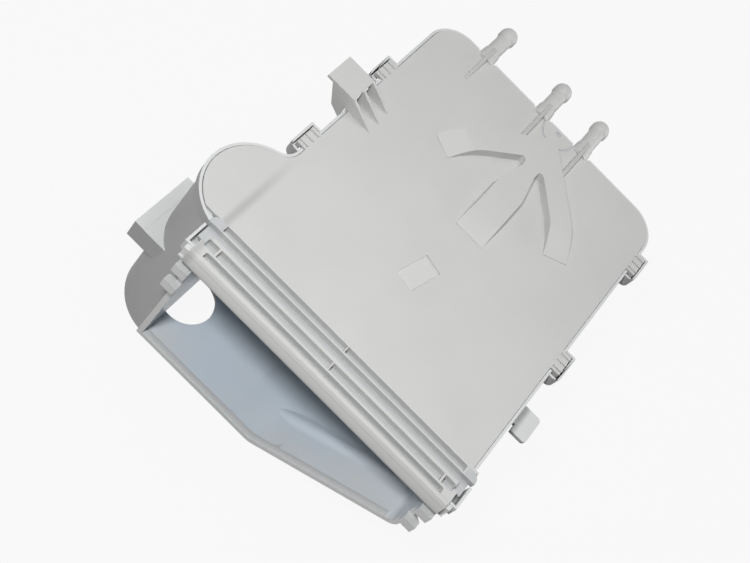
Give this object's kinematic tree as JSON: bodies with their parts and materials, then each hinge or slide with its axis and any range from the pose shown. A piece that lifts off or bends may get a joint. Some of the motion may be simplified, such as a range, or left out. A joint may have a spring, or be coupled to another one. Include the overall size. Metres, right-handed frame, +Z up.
{
  "type": "detergent dispenser housing",
  "caption": "Moulded housing for a washing machine's detergent drawer: open bay with sloping floor and drain, closed by a ribbed cover with hose barbs.",
  "frame": {"origin": "on the front face, half way across the drawer mouth, level with the seam between hopper and cover", "axes": "+X to the right as one faces the drawer mouth, +Y to the back along the drawer's travel, +Z up"},
  "size_m": [0.273, 0.3402, 0.132],
  "materials": {
    "hopper_plastic": "satin moulded",
    "cover_plastic": "satin moulded",
    "plate_plastic": "satin moulded"
  },
  "bodies": {
    "root": {"hopper_body": "hopper_plastic", "top_cover": "cover_plastic", "water_distribution_plate": "plate_plastic"}
  },
  "joints": []
}
